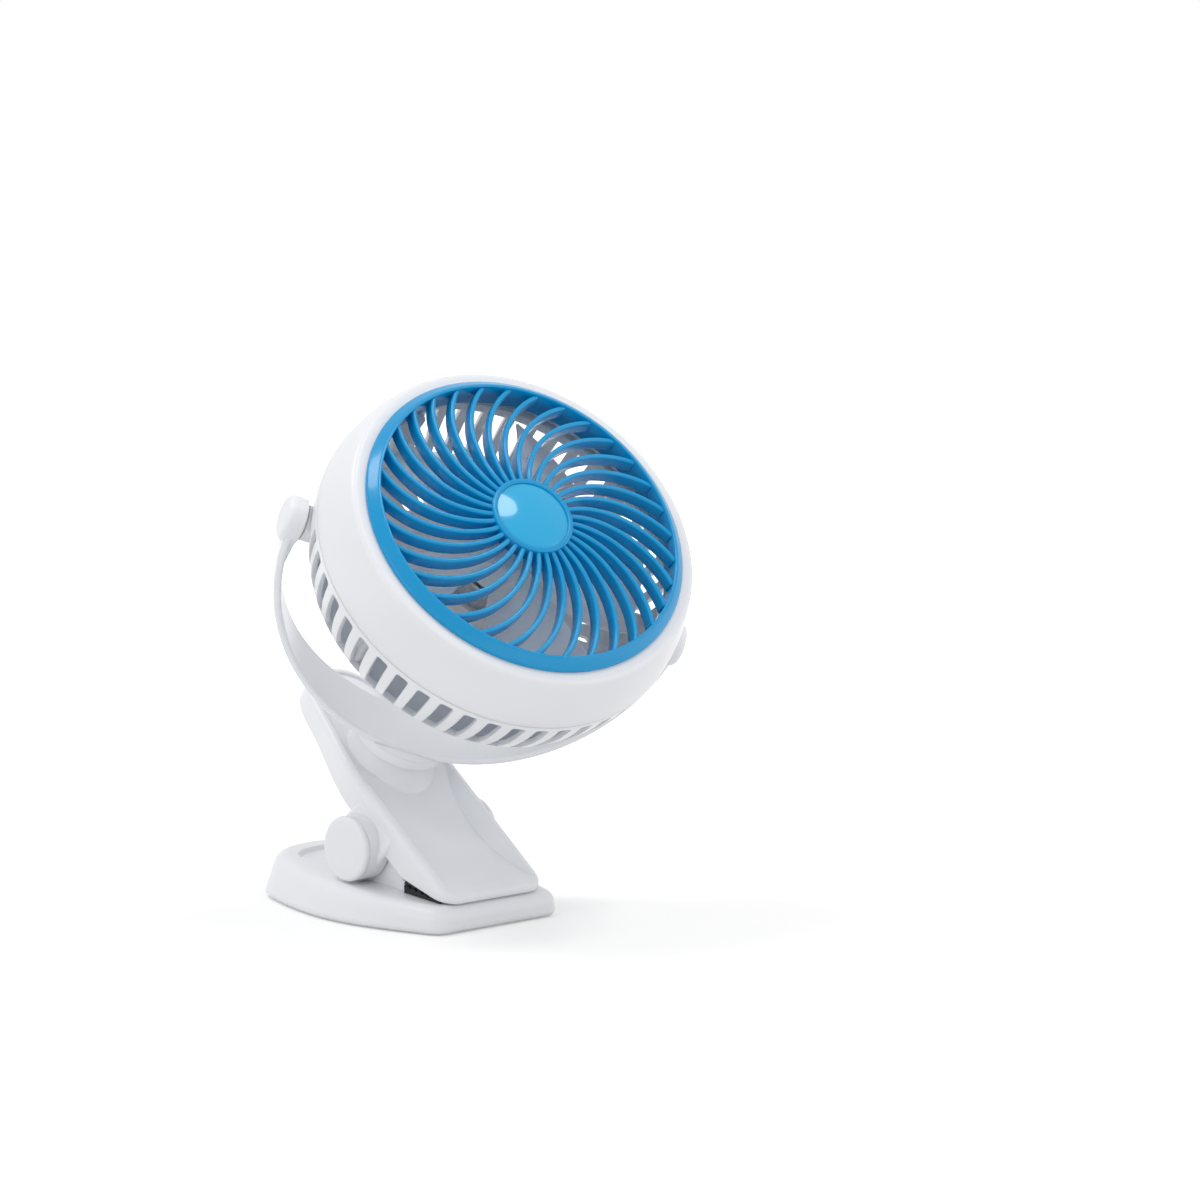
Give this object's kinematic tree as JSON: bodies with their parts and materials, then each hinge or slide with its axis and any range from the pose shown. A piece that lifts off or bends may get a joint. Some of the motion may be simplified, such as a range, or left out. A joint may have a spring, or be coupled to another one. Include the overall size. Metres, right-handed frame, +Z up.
{
  "type": "clip-on mini fan",
  "caption": "Round mini fan with a swirl-vane front grille in a white drum, tilting in a U-shaped yoke that swivels on a spring-loaded clip with a flat base to stand on.",
  "frame": {"origin": "centre of the base's non-slip face, on the surface it stands on", "axes": "+Z up, X along the clip's hinge pin, -Y the way the jaws point"},
  "size_m": [0.1437, 0.1788, 0.2022],
  "materials": {
    "white_plastic": "moulded white plastic, satin gloss",
    "blue_plastic": "moulded cyan-blue plastic, glossy",
    "frosted_plastic": "frosted milky plastic",
    "button_plastic": "moulded white plastic, glossy",
    "grey_plastic": "moulded light grey plastic, matte",
    "nylon": "natural nylon washer",
    "black_rubber": "black rubber, matte",
    "steel": "nickel plated steel",
    "magnet": "ferrite, dull",
    "brass": "sintered bronze bush",
    "copper": "copper winding on a laminated core",
    "lead_wire": "insulated wire",
    "cell_wrap": "plain shrink wrap over a steel can",
    "board_green": "solder-masked board",
    "lens_clear": "clear light guide"
  },
  "bodies": {
    "base": {"base_shell": "white_plastic", "base_plate": "grey_plastic", "non_slip_sheet": "black_rubber", "base_screws": "steel", "lower_jaw_pad": "black_rubber", "hinge_pin": "steel", "torsion_spring": "steel"},
    "arm": {"arm_shell": "white_plastic", "upper_jaw_pad": "black_rubber", "hinge_caps": "white_plastic", "swivel_washer": "nylon"},
    "yoke": {"yoke": "white_plastic", "keeper_washer": "steel", "swivel_screw": "steel", "pivot_pins": "steel"},
    "head": {"pivot_washers": "nylon", "front_shell": "white_plastic", "rear_shell": "white_plastic", "shell_screws": "steel", "front_grille": "blue_plastic", "hub_cap": "blue_plastic", "motor_can": "steel", "motor_bush": "brass", "motor_end_cap": "grey_plastic", "motor_magnets": "magnet", "motor_leads": "lead_wire", "battery_cell": "cell_wrap", "battery_contacts": "steel", "battery_door": "white_plastic", "door_screws": "steel", "circuit_board": "board_green", "usb_socket": "steel", "tact_switch": "grey_plastic", "indicator_lens": "lens_clear"},
    "impeller": {"impeller": "frosted_plastic", "motor_shaft": "steel", "armature": "copper"},
    "button": {"power_button": "button_plastic"}
  },
  "joints": [
    {"name": "clip_hinge", "type": "hinge", "parent": "base", "child": "arm", "pos_m": [0, -0.0088, 0.0266], "axis": [-1, 0, 0], "range_deg": [0, 40], "stiffness_Nm_per_rad": 0.6, "springref_deg": -40.11, "deforming": ["torsion_spring"]},
    {"name": "swivel", "type": "hinge", "parent": "arm", "child": "yoke", "pos_m": [0, -0.05021, 0.12705], "axis": [0, -0.6088, 0.7934], "continuous": true},
    {"name": "tilt", "type": "hinge", "parent": "yoke", "child": "head", "pos_m": [0, -0.05021, 0.12705], "axis": [0.8387, -0.4321, -0.3316], "range_deg": [-105, 80]},
    {"name": "impeller_spin", "type": "hinge", "parent": "head", "child": "impeller", "pos_m": [0, -0.05021, 0.12705], "axis": [-0.1547, -0.7727, 0.6157], "continuous": true},
    {"name": "button_press", "type": "slide", "parent": "head", "child": "button", "axis": [-0.1547, -0.7727, 0.6157], "range_m": [0, 0.0006], "stiffness_N_per_m": 400}
  ]
}
